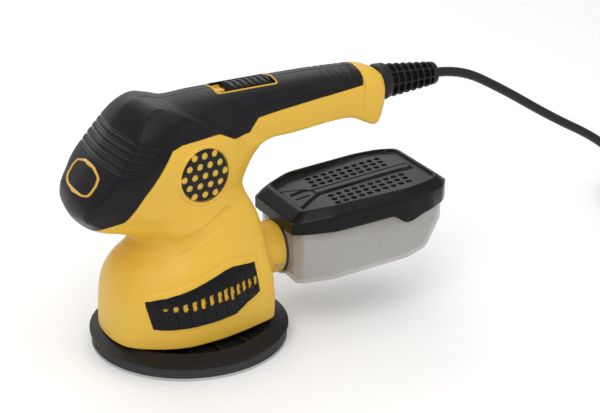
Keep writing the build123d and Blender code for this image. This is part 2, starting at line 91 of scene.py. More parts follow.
class Wire:
    # one output socket of a node tree; arithmetic on it adds Math nodes
    def __init__(self, tree, socket=None):
        self.tree, self.socket = tree, socket

    def node(self, kind, settings=None, inputs=None, output=0):
        made = self.tree.nodes.new(kind)
        for key, value in (settings or {}).items():
            if key == "stops":
                for i, (place, colour) in enumerate(value):
                    stop = made.color_ramp.elements[i] if i < 2 else made.color_ramp.elements.new(place)
                    stop.position, stop.color = place, colour
            else:
                setattr(made, key, value)
        for key, value in (inputs or {}).items():
            if isinstance(value, Wire):
                self.tree.links.new(value.socket, made.inputs[key])
            else:
                made.inputs[key].default_value = value
        return Wire(self.tree, made.outputs[output])

    def math(self, operation, a, b):
        return self.node("ShaderNodeMath", {"operation": operation}, {0: a, 1: b})

    def __add__(self, other): return self.math("ADD", self, other)
    def __radd__(self, other): return self.math("ADD", other, self)
    def __sub__(self, other): return self.math("SUBTRACT", self, other)
    def __rsub__(self, other): return self.math("SUBTRACT", other, self)
    def __mul__(self, other): return self.math("MULTIPLY", self, other)
    def __rmul__(self, other): return self.math("MULTIPLY", other, self)
    def __pow__(self, other): return self.math("POWER", self, other)


def newMaterial(name, colour, roughness, metallic=0.0, coat=0.0, specular=0.5):
    # a Principled material with its constants on its own sockets
    mat = bpy.data.materials.new(name)
    mat.use_nodes = True
    shader = mat.node_tree.nodes["Principled BSDF"]
    shader.inputs["Base Color"].default_value = (*colour, 1)
    shader.inputs["Roughness"].default_value = roughness
    shader.inputs["Metallic"].default_value = metallic
    shader.inputs["Coat Weight"].default_value = coat
    shader.inputs["Coat Roughness"].default_value = 0.15
    shader.inputs["Specular IOR Level"].default_value = specular
    return mat, shader, Wire(mat.node_tree)


def grainy(name, colour, shade, roughness, grain=900.0, depth=0.12, coat=0.0, metallic=0.0, patch=18.0,
           specular=0.5):
    # moulded or machined surface: fine grain in the bump, slow patches in colour and gloss
    mat, shader, wire = newMaterial(name, colour, roughness, metallic, coat, specular=specular)
    place = wire.node("ShaderNodeTexCoord", output="Object")
    fine = wire.node("ShaderNodeTexNoise", {}, {"Vector": place, "Scale": grain, "Detail": 2.0})
    slow = wire.node("ShaderNodeTexNoise", {}, {"Vector": place, "Scale": patch, "Detail": 3.0})
    tone = wire.node("ShaderNodeMix", {"data_type": "RGBA"},
                     {0: slow, 6: (*colour, 1), 7: (*shade, 1)}, output=2)
    gloss = (slow - 0.5) * 0.12 + (fine - 0.5) * 0.08 + roughness
    bump = wire.node("ShaderNodeBump", {}, {"Strength": depth, "Distance": 0.0002, "Height": fine})
    links = mat.node_tree.links
    links.new(tone.socket, shader.inputs["Base Color"])
    links.new(gloss.socket, shader.inputs["Roughness"])
    links.new(bump.socket, shader.inputs["Normal"])
    return mat


finishes = {  # colour, darker or lighter shade of it, roughness, then what differs from plain moulding
    "yellow_plastic": dict(colour=(0.80, 0.49, 0.055), shade=(0.75, 0.45, 0.045),
                           roughness=0.42, grain=1500, depth=0.10, specular=0.35),
    "soft_grip": dict(colour=(0.0075, 0.0065, 0.0080), shade=(0.0105, 0.0092, 0.0110),
                      roughness=0.33, grain=1700, depth=0.14, specular=0.17),
    "black_plastic": dict(colour=(0.006, 0.006, 0.0065), shade=(0.009, 0.009, 0.0095),
                          roughness=0.27, grain=1100, depth=0.03, specular=0.15),
    "dark_plastic": dict(colour=(0.009, 0.0085, 0.0085), shade=(0.013, 0.012, 0.012),
                         roughness=0.40, grain=1200, depth=0.12, specular=0.2),
    "badge_orange": dict(colour=(0.70, 0.36, 0.03), shade=(0.78, 0.45, 0.05),
                         roughness=0.30, grain=900, depth=0.03, coat=0.4),
    "foam": dict(colour=(0.025, 0.025, 0.027), shade=(0.04, 0.04, 0.042),
                 roughness=0.85, grain=700, depth=0.6),
    "hook": dict(colour=(0.60, 0.59, 0.57), shade=(0.42, 0.41, 0.40),
                 roughness=0.9, grain=1300, depth=0.9),
    "steel": dict(colour=(0.55, 0.55, 0.56), shade=(0.45, 0.45, 0.46),
                  roughness=0.28, metallic=1.0, grain=600, depth=0.05),
    "lamination": dict(colour=(0.30, 0.30, 0.32), shade=(0.22, 0.22, 0.24),
                       roughness=0.5, metallic=1.0, grain=900, depth=0.3),
    "copper": dict(colour=(0.62, 0.27, 0.12), shade=(0.50, 0.20, 0.08),
                   roughness=0.35, metallic=1.0, grain=800, depth=0.2),
    "brass": dict(colour=(0.72, 0.52, 0.22), shade=(0.62, 0.44, 0.18),
                  roughness=0.32, metallic=1.0, grain=600, depth=0.05),
    "carbon": dict(colour=(0.03, 0.03, 0.032), shade=(0.05, 0.05, 0.05),
                   roughness=0.6, grain=900, depth=0.2),
    "zinc": dict(colour=(0.50, 0.50, 0.52), shade=(0.40, 0.40, 0.42),
                 roughness=0.45, metallic=1.0, grain=700, depth=0.2),
    "fan_plastic": dict(colour=(0.06, 0.06, 0.06), shade=(0.09, 0.09, 0.09),
                        roughness=0.5, grain=900, depth=0.2),
    "cord_rubber": dict(colour=(0.008, 0.008, 0.009), shade=(0.013, 0.013, 0.014),
                        roughness=0.38, grain=1300, depth=0.10, specular=0.25),
    "paper": dict(colour=(0.75, 0.72, 0.63), shade=(0.66, 0.63, 0.54),
                  roughness=0.9, grain=1200, depth=0.4),
    "nickel": dict(colour=(0.66, 0.65, 0.62), shade=(0.56, 0.55, 0.52),
                   roughness=0.22, metallic=1.0, grain=500, depth=0.03),
}


def frostedBox():
    # translucent moulding: half see-through, with cloudy patches and soft gloss
    mat, shader, wire = newMaterial("clear_grey", (0.36, 0.35, 0.33), 0.30)
    place = wire.node("ShaderNodeTexCoord", output="Object")
    cloud = wire.node("ShaderNodeTexNoise", {}, {"Vector": place, "Scale": 30.0, "Detail": 4.0})
    fine = wire.node("ShaderNodeTexNoise", {}, {"Vector": place, "Scale": 1200.0, "Detail": 2.0})
    tone = wire.node("ShaderNodeMix", {"data_type": "RGBA"},
                     {0: cloud, 6: (0.55, 0.535, 0.505, 1), 7: (0.42, 0.408, 0.385, 1)}, output=2)
    alpha = cloud * 0.20 + 0.40
    bump = wire.node("ShaderNodeBump", {}, {"Strength": 0.10, "Distance": 0.0002, "Height": fine})
    links = mat.node_tree.links
    links.new(tone.socket, shader.inputs["Base Color"])
    links.new(alpha.socket, shader.inputs["Alpha"])
    links.new(bump.socket, shader.inputs["Normal"])
    return mat


materials = {name: grainy(name, **look) for name, look in finishes.items()}
materials["clear_grey"] = frostedBox()
print("materials made")

# every CAD node takes the material of its slot
for part in frame["record"]["subparts"]:
    node = frame["nodes"][part["node"]]
    node.data.materials.clear()
    node.data.materials.append(materials[part["material_slot"]])

# ---- mesh tools


def gridFaces(rows, cols, aroundRows=False, aroundCols=False):
    # quads between neighbouring grid points, wrapping where asked
    i = np.arange(rows if aroundRows else rows - 1)[:, None]
    j = np.arange(cols if aroundCols else cols - 1)[None, :]
    a, b = i * cols + j, i * cols + (j + 1) % cols
    c, d = ((i + 1) % rows) * cols + (j + 1) % cols, ((i + 1) % rows) * cols + j
    return np.stack([a + 0 * b, b + 0 * a, c + 0 * a, d + 0 * a], axis=-1).reshape(-1, 4)


def sheetPart(points, aroundCols=False, aroundRows=False, capFirst=False, capLast=False, tint=0):
    # a grid of points (rows, cols, 3) in metres; caps close the first or last row
    rows, cols = points.shape[:2]
    verts = points.reshape(-1, 3)
    faces = gridFaces(rows, cols, aroundRows, aroundCols).tolist()
    if capFirst:
        faces.append(list(range(cols))[::-1])
    if capLast:
        faces.append(list(range((rows - 1) * cols, rows * cols)))
    tints = tint if np.ndim(tint) else [tint] * len(faces)
    return verts, faces, list(tints)


def addPiece(name, body, parts, looks, hides=(), sharp=38.0):
    # joins the parts into one closed mesh, turns its faces outwards and lets it ride on a body
    verts, faces, tints, start = [], [], [], 0
    for points, quads, tint in parts:
        verts.append(points)
        faces.extend([[v + start for v in quad] for quad in quads])
        tints.extend(tint)
        start += len(points)
    mesh = bpy.data.meshes.new(name)
    mesh.from_pydata(np.concatenate(verts).tolist(), [], faces)
    mesh.polygons.foreach_set("material_index", tints)
    for look in looks:
        mesh.materials.append(materials[look])
    work = bmesh.new()
    work.from_mesh(mesh)
    bmesh.ops.remove_doubles(work, verts=work.verts, dist=1e-6)
    bmesh.ops.dissolve_degenerate(work, edges=work.edges, dist=1e-7)
    bmesh.ops.recalc_face_normals(work, faces=work.faces)
    work.to_mesh(mesh)
    work.free()
    mesh.polygons.foreach_set("use_smooth", [True] * len(mesh.polygons))
    mesh.set_sharp_from_angle(angle=math.radians(sharp))
    obj = bpy.data.objects.new(name, mesh)
    bpy.context.scene.collection.objects.link(obj)
    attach(obj, body)
    if hides:
        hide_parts(*hides)
    return obj


def lathe(profile, count=96, axis="z", centre=(0, 0, 0)):
    # profile of (radius, height) turned round an axis: x = r cos a, y = r sin a, z = h
    p = np.asarray(profile, float) * mm
    a = np.linspace(0, 2 * np.pi, count, endpoint=False)
    r, h = p[:, :1], p[:, 1:] + 0 * a
    u, v = r * np.cos(a), r * np.sin(a)
    turned = {"z": (u, v, h), "x": (h, u, v), "y": (v, h, u)}[axis]
    points = np.stack(turned, axis=-1) + np.array(centre) * mm
    return sheetPart(points, aroundCols=True, aroundRows=True)


def rounded(corners, radius, steps=5):
    # closed outline whose corners are arcs: each corner c becomes points on the arc between its legs
    pts = np.asarray(corners, float)
    radii = np.broadcast_to(radius, len(pts))
    out = []
    for before, c, after, r in zip(np.roll(pts, 1, 0), pts, np.roll(pts, -1, 0), radii):
        d1, d2 = before - c, after - c
        n1, n2 = np.linalg.norm(d1), np.linalg.norm(d2)
        d1, d2 = d1 / n1, d2 / n2
        half = math.acos(np.clip(d1 @ d2, -1, 1)) / 2
        back = min(r / math.tan(half), 0.48 * n1, 0.48 * n2)
        t = np.linspace(0, 1, steps)[:, None]
        a, b = c + d1 * back, c + d2 * back
        w = math.sin(half)   # rational quadratic with this weight is a true arc
        out.append(((1 - t) ** 2 * a + 2 * w * t * (1 - t) * c + t ** 2 * b)
                   / ((1 - t) ** 2 + 2 * w * t * (1 - t) + t ** 2))
    return np.concatenate(out)


def catmull(table, places):
    # smooth interpolation through the rows of a table (Catmull-Rom), at fractional row numbers
    t = np.asarray(table, float)
    i = np.clip(np.floor(places).astype(int), 0, len(t) - 2)
    f = (places - i)[:, None]
    p0, p1, p2, p3 = (t[np.clip(i + k, 0, len(t) - 1)] for k in (-1, 0, 1, 2))
    m1, m2 = (p2 - p0) / 2, (p3 - p1) / 2
    return ((2 * f ** 3 - 3 * f ** 2 + 1) * p1 + (f ** 3 - 2 * f ** 2 + f) * m1
            + (3 * f ** 2 - 2 * f ** 3) * p2 + (f ** 3 - f ** 2) * m2)


def splineBasis(t, count):
    # clamped uniform B-spline basis of degree 2, t from 0 to 1; last axis runs over the controls
    knots = np.concatenate([[0, 0], np.linspace(0, 1, count - 1), [1, 1]])
    t = np.clip(t, 0, 1 - 1e-9)[..., None]
    basis = ((t >= knots[:-1]) & (t < knots[1:])).astype(float)
    for degree in (1, 2):
        n = len(knots) - degree - 1
        left = knots[degree:degree + n] - knots[:n]
        right = knots[degree + 1:degree + 1 + n] - knots[1:1 + n]
        a = np.where(left > 0, (t - knots[:n]) / np.where(left > 0, left, 1), 0)
        b = np.where(right > 0, (knots[degree + 1:degree + 1 + n] - t) / np.where(right > 0, right, 1), 0)
        basis = a * basis[..., :n] + b * basis[..., 1:n + 1]
    return basis


# ---- housing: one swept surface, split along the edge of the soft grip

hull = {
    # each row: inner rail x, z; outer rail x, z; then seven (share, half width) controls from the
    # inner rail to the outer one. Rows run from the skirt up through the head to the handle's end.
    "rows": [
        (50.5, 16.5, -56, 14.5, 0, 20, .033, 31.3, .25, 39, .47, 43.5, .70, 43.5, .93, 28.5, 1, 14),
        (51, 30, -55.5, 30, 0, 20, .033, 31.5, .25, 39.5, .47, 44, .70, 44, .93, 29, 1, 14),
        (50, 47, -53, 47, 0, 19, .035, 30, .25, 38, .47, 42.5, .70, 42.5, .93, 28, 1, 14),
        (48, 60, -48.5, 60, 0, 18, .045, 28, .25, 35.5, .47, 39.5, .69, 39, .92, 22.5, 1, 10),
        (46.5, 72, -40, 70, 0, 16, .05, 25, .25, 32.5, .47, 35.5, .68, 33.5, .90, 18, 1, 8),
        (44, 82.5, -36.5, 77.5, 0, 15, .05, 23.5, .25, 31, .47, 33.5, .68, 31.5, .88, 18, 1, 8),
        (41, 90, -52, 84.8, 0, 15, .05, 23, .25, 31, .47, 33.5, .66, 31.5, .82, 21, 1, 13),
        (38, 96, -67, 90, 0, 15, .05, 22, .25, 31, .45, 33.5, .62, 31, .86, 23.5, 1, 14),
        (35, 102, -75, 99, 0, 15, .05, 22, .22, 31, .42, 33.5, .72, 33, .96, 21.5, 1, 13),
        (34, 106, -74.3, 108, 0, 15, .05, 22, .22, 31, .42, 33.0, .79, 35.5, .975, 25, 1, 15),
        (35, 110, -69.5, 116.5, 0, 15, .05, 22, .22, 31, .42, 33.5, .80, 37, .955, 32, 1, 17),
        (37, 114, -62, 126.5, 0, 15, .05, 21, .22, 30.5, .42, 33.8, .78, 38.5, .955, 35.5, 1, 18),
        (40, 118.5, -50.5, 144.5, 0, 14, .05, 20, .22, 28, .42, 33, .75, 38, .94, 32, 1, 14),
        (43.5, 122.5, -41, 157.5, 0, 13, .05, 19, .2, 25, .42, 31.5, .77, 34.5, .945, 25, 1, 10),
        (46, 124.8, -31.5, 164.8, 0, 12.5, .05, 18.5, .2, 23.5, .42, 30, .78, 31, .945, 19, 1, 7),
        (47.5, 126, -22, 164.6, 0, 12, .05, 17.5, .2, 22, .42, 28.5, .76, 29, .91, 20, .995, 9),
        (51, 128, -12, 162.7, 0, 12, .05, 16.5, .2, 19.5, .42, 24, .74, 25, .90, 17.5, .99, 8),
        (57, 130, 8, 164, 0, 11, .03, 15.5, .25, 18.5, .5, 20.5, .76, 20.5, .91, 15.5, .985, 8),
        (66, 131, 40, 165, 0, 11, .01, 15.5, .25, 17.5, .5, 18.5, .74, 18.5, .89, 14.8, .985, 8.5),
        (78, 132.5, 68, 165.5, 0, 11, 0, 15.5, .25, 17.3, .5, 18, .72, 17.9, .88, 14.8, .985, 8.5),
        (95, 134.5, 92, 165.5, 0, 11, 0, 15.5, .25, 17.3, .5, 18, .72, 17.9, .88, 14.8, .985, 8.5),
        (110, 134.5, 110, 165, 0, 11, 0, 15.5, .25, 17.5, .5, 18.2, .72, 18, .88, 14.8, .985, 8.5),
        (120, 130, 122, 164.6, 0, 11, 0, 16, .25, 18.2, .5, 18.6, .73, 18.2, .88, 14.8, .985, 8.5),
        (126.5, 127.8, 130, 162, 0, 11, 0, 16, .25, 18, .5, 18.4, .75, 17.8, .9, 13.5, .985, 8),
        (131.5, 129.5, 134.5, 159, 0, 9, .02, 13, .25, 15.5, .5, 16, .75, 15, .92, 11, 1, 6),
        (134.5, 135.5, 137, 155, 0, 5, .05, 8, .25, 10, .5, 10.5, .75, 9.5, .95, 6, 1, 3.5),
    ],
    "sharpness": (1, 1, 2.2, 1, 1, 1.1, 1.3, 1, 1),   # weight of each control, rail to rail
    "headSharpness": (1, 1, 1, 1, 1, 2.6, 5.5, 1, 1),
    "gripEdge": [(-80, 83.5), (-66.8, 89.9), (-61, 94.5), (-50.5, 98.9), (-46.5, 106), (-39.5, 116),
                 (-29.5, 129), (-21, 141.5), (-14, 143.5), (-1.5, 143.7), (14, 144.3), (23.5, 138.3),
                 (37, 138.6), (43, 146.7), (54, 148.2), (82, 151.8), (117, 156.2), (119, 175)],
    "gripRows": (6.97, 21.9),
    "ventRim": [(-46, 49.0), (-28.5, 52.2), (-18.6, 55), (-4.8, 59), (10, 63.8), (16, 64.4), (35.5, 62),
                (38.5, 45)],
    "label": {"middle": (0.9, 84.4), "half": (20.3, 4.5), "tilt": 25.5, "depth": 1.0},
    "rimDepth": 0.6, "skinGap": 0.7,   # groove over the vent, and sink of both skins at their shared edge
    # what is pressed into the grip: places in rows or in the section's own parameter, then depths
    "faceGrooves": (11.37, 11.59, 11.82, 12.06, 12.33), "grooveDepth": 0.8,
    "faceCrease": 0.786, "creaseRise": 0.45, "seamStart": 14.3, "seam": 0.35,
    "laneStarts": (93.5, 98.3, 103.1, 107.9, 112.7), "lanePair": 1.3, "laneDepth": 0.55, "laneHalf": 16.9,
    "well": {"middle": 40.25, "half": (20.7, 10.1), "depth": 6.0},
}


def hullRow(places):
    # rails and control net at fractional rows
    table = catmull(hull["rows"], places)
    inner, outer = table[:, 0:2], table[:, 2:4]
    net = table[:, 4:].reshape(len(places), 7, 2)
    ends = np.zeros((len(places), 1, 2))
    last = ends.copy()
    last[..., 0] = 1
    return inner, outer, np.concatenate([ends, net, last], axis=1)


def hullWeights(places):
    # weights of the controls: the head's own between its rows, the plain ones elsewhere
    head = np.clip(np.minimum(places - 7.2, 15.2 - places), 0, 1)[:, None]
    return (np.array(hull["sharpness"]) * (1 - head) + np.array(hull["headSharpness"]) * head)[:, None]


def hullPoints(places, t):
    # point = inner + share(t) (outer - inner), y = width(t); rational quadratic B-spline in t
    inner, outer, net = hullRow(places)
    basis = splineBasis(t, 9) * hullWeights(places)
    basis = basis / basis.sum(-1, keepdims=True)
    share = np.einsum("rck,rk->rc", basis, net[..., 0])
    width = np.einsum("rck,rk->rc", basis, net[..., 1])
    xz = inner[:, None] + share[..., None] * (outer - inner)[:, None]
    return np.stack([xz[..., 0], width, xz[..., 1]], axis=-1)


def gripEdgeParameter(places):
    # where each row's section meets the grip edge, as its t; 1 where the row has no grip
    inner, outer, _ = hullRow(places)
    edge = np.array(hull["gripEdge"])
    a, b = edge[:-1], edge[1:]
    d, e = (outer - inner)[:, None], (b - a)[None]
    gap = a[None] - inner[:, None]
    cross = d[..., 0] * e[..., 1] - d[..., 1] * e[..., 0]
    share = (gap[..., 0] * e[..., 1] - gap[..., 1] * e[..., 0]) / cross
    along = (gap[..., 0] * d[..., 1] - gap[..., 1] * d[..., 0]) / cross
    share = np.where((along >= -1e-6) & (along <= 1 + 1e-6) & (share > 0), share, 9).min(axis=1)
    bare = (places < hull["gripRows"][0]) | (places > hull["gripRows"][1])
    share = np.where(bare, 1, np.minimum(share, 1))
    t = np.linspace(0, 1, 600)
    net = hullRow(places)[2]
    basis = splineBasis(np.broadcast_to(t, (len(places), 600)), 9) * hullWeights(places)
    s = np.einsum("rck,rk->rc", basis / basis.sum(-1, keepdims=True), net[..., 0])
    s = np.maximum.accumulate(s, axis=1)
    return np.array([np.interp(want, row, t) for want, row in zip(share, s)])


def surfaceNormals(points):
    # unit normals of a grid: the cross product of its central differences
    du, dv = np.gradient(points, axis=0), np.gradient(points, axis=1)
    n = np.cross(du, dv)
    return n / np.maximum(np.linalg.norm(n, axis=-1, keepdims=True), 1e-9)


def mirrored(half):
    # whole section from its half: the half read backwards at -y, then the half itself
    other = half[:, ::-1].copy()
    other[..., 1] *= -1
    return other, half


def hullPlaces(first, last):
    # rows, denser over the lower body, over the head's grooves and at the switch
    zones = [(0, 7, 0.05), (7, 11.2, 0.08), (11.2, 12.5, 0.02), (12.5, 17.2, 0.06), (17.2, 19.0, 0.016),
             (19.0, 25, 0.06)]
    places = np.concatenate([np.arange(a, b, step) for a, b, step in zones])
    return np.unique(np.concatenate([places[(places > first) & (places < last)], [first, last]]).round(4))


def distanceToLine(x, z, line):
    # shortest distance from each point to a polyline in the x-z plane
    nearest = np.full(x.shape, 1e3)
    for (ax, az), (bx, bz) in zip(line, line[1:]):
        t = ((x - ax) * (bx - ax) + (z - az) * (bz - az)) / ((bx - ax) ** 2 + (bz - az) ** 2)
        t = np.clip(t, 0, 1)
        nearest = np.minimum(nearest, np.hypot(x - ax - t * (bx - ax), z - az - t * (bz - az)))
    return nearest


def softStep(value, width):
    # 0 below zero, 1 above it, smooth over the width
    return 1 / (1 + np.exp(-np.clip(value / width * 4, -50, 50)))


def roundedBox(u, v, halfU, halfV, radius):
    # signed distance to a rounded rectangle, negative inside
    qu, qv = np.abs(u) - halfU + radius, np.abs(v) - halfV + radius
    return np.hypot(np.maximum(qu, 0), np.maximum(qv, 0)) + np.minimum(np.maximum(qu, qv), 0) - radius


def labelDepth(x, z):
    # slanted shallow panel on the body's side
    label = hull["label"]
    a = math.radians(label["tilt"])
    dx, dz = x - label["middle"][0], z - label["middle"][1]
    along, across = dx * math.cos(a) + dz * math.sin(a), dz * math.cos(a) - dx * math.sin(a)
    return label["depth"] * softStep(-roundedBox(along, across, *label["half"], 1.5), 0.6)


def inwards(points, amount):
    # the grid pushed along its own normals, towards the inside
    n = surfaceNormals(points)
    middle = points.mean(axis=1, keepdims=True) * np.array([1, 0, 1])
    side = np.sign(((points - middle) * n).sum(-1).mean())
    return points - side * n * amount


def addHousing():
    # yellow shell: from the inner rail out to the grip edge on both sides
    places = hullPlaces(0, 25)
    edge = gripEdgeParameter(places)
    v = np.concatenate([np.linspace(0, 0.985, 110), [0.993, 1.0]])
    half = hullPoints(places, v[None] * edge[:, None])
    lip = np.where(v > 0.9985, hull["skinGap"], np.where(v > 0.99, 0.12, 0.0))
    depth = np.where((edge < 1)[:, None], lip[None], 0.0)
    x, y, z = half[..., 0], half[..., 1], half[..., 2]
    rim = np.exp(-(distanceToLine(x, z, hull["ventRim"]) / 0.8) ** 2) * (y > 25)
    depth = depth + hull["rimDepth"] * rim + labelDepth(x, z) * (y > 12)
    half = inwards(half, depth[..., None])
    left, right = mirrored(half)
    outer = np.concatenate([left[:, :-1], right], axis=1)
    parts = [sheetPart(outer * mm)]
    # skirt: a rolled lip, then a wall and a roof over the fan chamber
    rim = outer[:1]
    centre = np.array([-3.0, 0, 0])
    rings = [rim]
    for pull, z in ((0.993, -0.5), (0.975, -0.8), (0.95, -0.5), (0.93, 1.5), (0.93, 7)):
        ring = centre + (rim - centre) * pull
        ring[..., 2] = rim[..., 2] + z
        rings.append(ring)
    parts.append(sheetPart(np.concatenate(rings) * mm, capLast=True))
    end = outer[-1:]
    hub = end.mean(axis=1, keepdims=True)
    closing = [hub + (end - hub) * share + [bulge, 0, 0] for share, bulge in ((0.6, 0.5), (0.02, 0.6))]
    parts.append(sheetPart(np.concatenate([end] + closing) * mm))
    return addPiece("housingShell", "housing", parts, ["yellow_plastic"],
                    hides=("housing_left", "housing_right"), sharp=50)


def addGrip():
    # black skin: from the grip edge over the top to the other edge, with face grooves and a seam
    places = hullPlaces(*hull["gripRows"])
    edge = gripEdgeParameter(places)
    v = np.concatenate([[0.0, 0.006], np.linspace(0.012, 0.97, 76), [0.985, 0.992, 0.997, 1.0]])
    t = edge[:, None] + v[None] * (1 - edge[:, None])
    half = hullPoints(places, t)
    depth = np.where(v < 0.001, hull["skinGap"], np.where(v < 0.008, 0.12, 0.0))[None] + 0 * half[..., 0]
    y = half[..., 1]
    for row in hull["faceGrooves"]:
        reach = softStep(t - 0.66, 0.02)
        depth += hull["grooveDepth"] * np.exp(-((places[:, None] - row) / 0.05) ** 2) * reach
    onFace = softStep(places - 7.8, 0.6) * softStep(14.6 - places, 0.5)
    depth -= hull["creaseRise"] * np.exp(-((t - hull["faceCrease"]) / 0.010) ** 2) * onFace[:, None]
    behindCap = 1 / (1 + np.exp(-(places[:, None] - hull["seamStart"]) / 0.02))
    depth += hull["seam"] * np.exp(-(y / 0.45) ** 2) * behindCap
    x = half[..., 0]
    reach = (places[:, None] > 19) * (v[None] > 0.1) / (1 + np.exp((np.abs(y) - hull["laneHalf"]) / 0.3))
    for start in hull["laneStarts"]:
        for shift in (0, hull["lanePair"]):
            depth += hull["laneDepth"] * np.exp(-((x - start - shift) / 0.36) ** 2) * reach
    well = roundedBox(x - hull["well"]["middle"], y, *hull["well"]["half"], 2.5)
    depth += hull["well"]["depth"] * softStep(-well, 0.6) * (half[..., 2] > 150)
    half = inwards(half, depth[..., None])
    left, right = mirrored(half)
    return addPiece("gripSkin", "housing",
                    [sheetPart(np.concatenate([right, left[:, 1:]], axis=1) * mm)], ["soft_grip"],
                    hides=("grip_left", "grip_right", "head_cap"), sharp=50)


addHousing()
addGrip()
print("housing and grip made")

# ---- pieces that follow the housing's surface


def bareHullTree():
    # the housing's outer surface before grooves and wells, for landing other pieces on
    places = np.arange(0, 25.001, 0.07)
    half = hullPoints(places, np.broadcast_to(np.linspace(0, 1, 170), (len(places), 170)))
    left, right = mirrored(half)
    whole = np.concatenate([left[:, :-1], right], axis=1)
    return BVHTree.FromPolygons(whole.reshape(-1, 3).tolist(), gridFaces(*whole.shape[:2]).tolist())


bareHull = bareHullTree()


def landOn(starts, direction):
    # each start moved along the direction to where it meets the bare hull
    flat, way = starts.reshape(-1, 3), Vector(direction)
    hits = [bareHull.ray_cast(Vector(p), way)[0] for p in flat.tolist()]
    return np.array([p if h is None else h for h, p in zip(hits, flat)]).reshape(starts.shape)


def slab(front, back, mask=None):
    # closed body: front columns, then back columns, wrapped round; masked front faces take the second look
    ring = np.concatenate([front, back], axis=1)
    tint = np.zeros((len(ring) - 1, ring.shape[1]), int)
    if mask is not None:
        tint[:, :front.shape[1]][mask[:-1] & mask[1:]] = 1
    return sheetPart(ring * mm, aroundCols=True, capFirst=True, capLast=True,
                     tint=tint.ravel().tolist() + [0, 0])


sideName = {-1: "right", 1: "left"}   # +Y is the tool's left


vent = {  # outline seen from the side (x, z), then the slots under the crease by their number from the front
    "top": [(-42.2, 46.2), (-28.2, 49.2), (-18.4, 51.9), (-4.4, 55.8), (10.5, 60.2), (15.7, 60.8),
            (33.1, 58.8)],
    "bottom": [(-38.2, 27.6), (-30, 27.4), (-12.4, 27.9), (2, 28.3), (15.3, 29.4), (23.8, 34.1),
               (35.8, 38.5)],
    "length": 74, "height": 28, "proud": 1.3, "sink": 0.9,
    "crease": ([0, .3, .65, 1], [.80, .71, .70, .78]), "finPitch": 1 / 9.3,
    "slots": 13, "slotDepth": 2.9, "slotPlace": ([0, 6, 12], [.132, .592, .955]),
    "slotHalf": ([0, 12], [1.4, 1.0]),
    "slotTop": ([0, 3, 6, 9, 12], [.70, .675, .65, .60, .57]),
    "slotLow": ([0, 1, 2, 3, 6, 9, 12], [.64, .57, .51, .47, .40, .35, .32]),
}


def along(line, u):
    # point on a polyline by its share of the way along x
    line = np.array(line, float)
    share = (line[:, 0] - line[0, 0]) / (line[-1, 0] - line[0, 0])
    return np.interp(u, share, line[:, 0]), np.interp(u, share, line[:, 1])


def addVent(side):
    # patch between the outline's top and bottom; height = bevelled edge, flat, then a fall above the crease
    u, v = np.meshgrid(np.linspace(0, 1, 230), np.linspace(0, 1, 100), indexing="ij")
    (tx, tz), (bx, bz) = along(vent["top"], u), along(vent["bottom"], u)
    x, z = bx + (tx - bx) * v, bz + (tz - bz) * v
    crease = np.interp(u, *vent["crease"])
    length = vent["length"]
    edge = np.minimum(np.minimum(u, 1 - u) * length, np.minimum(v, 1 - v) * (tz - bz))
    fall = np.clip((v - crease) / (1 - crease), 0, 1)
    height = -vent["sink"] + (vent["proud"] + vent["sink"]) * np.clip(edge / 1.1, 0, 1) ** 0.6 - 1.0 * fall
    height -= 0.8 * (1 - np.clip(u * length / 5.5, 0, 1))
    height -= 1.2 * np.clip(1 - (1 - u) * length / 3.5, 0, 1) * (1 - fall)
    lower = softStep(crease - v - 0.02, 0.03)
    height -= 0.5 * np.exp(-(((u - 0.045) / vent["finPitch"] % 1 - 0.5) / 0.04) ** 2) * lower
    tile = (u - 0.02 + 0.10 * fall) / vent["finPitch"] % 1
    height += (0.85 * tile - 0.3) * (fall > 0.02) * softStep(0.86 - fall, 0.08)
    mask = np.zeros(u.shape, bool)
    for i in range(vent["slots"]):
        middle = np.interp(i, *vent["slotPlace"]) + 0.025 * (v - 0.5)
        low, top = np.interp(i, *vent["slotLow"]), np.interp(i, *vent["slotTop"])
        across, up = (u - middle) * length, (v - (low + top) / 2) * vent["height"]
        hole = roundedBox(across, up, np.interp(i, *vent["slotHalf"]), (top - low) * vent["height"] / 2, 0.4)
        height = np.where(hole < 0, -vent["slotDepth"], height)
        mask |= hole < 0.15
    base = landOn(np.stack([x, np.full(x.shape, 80.0), z], axis=-1), (0, -1, 0))
    front = base.copy()
    front[..., 1] += height
    back = base[:, [-1, 0]].copy()
    back[..., 1] -= 4.0
    for grid in (front, back):
        grid[..., 1] *= side
    return addPiece("sideVent" + sideName[side].title(), "housing",
                    [slab(front, back, mask)], ["black_plastic", "yellow_plastic"],
                    hides=["side_vent_" + sideName[side]], sharp=32)


grille = {"x": 0.3, "z": 121.3, "radius": 16.6, "pitch": 7.2, "hole": 2.15, "holeDepth": 3.4, "rise": 0.7}


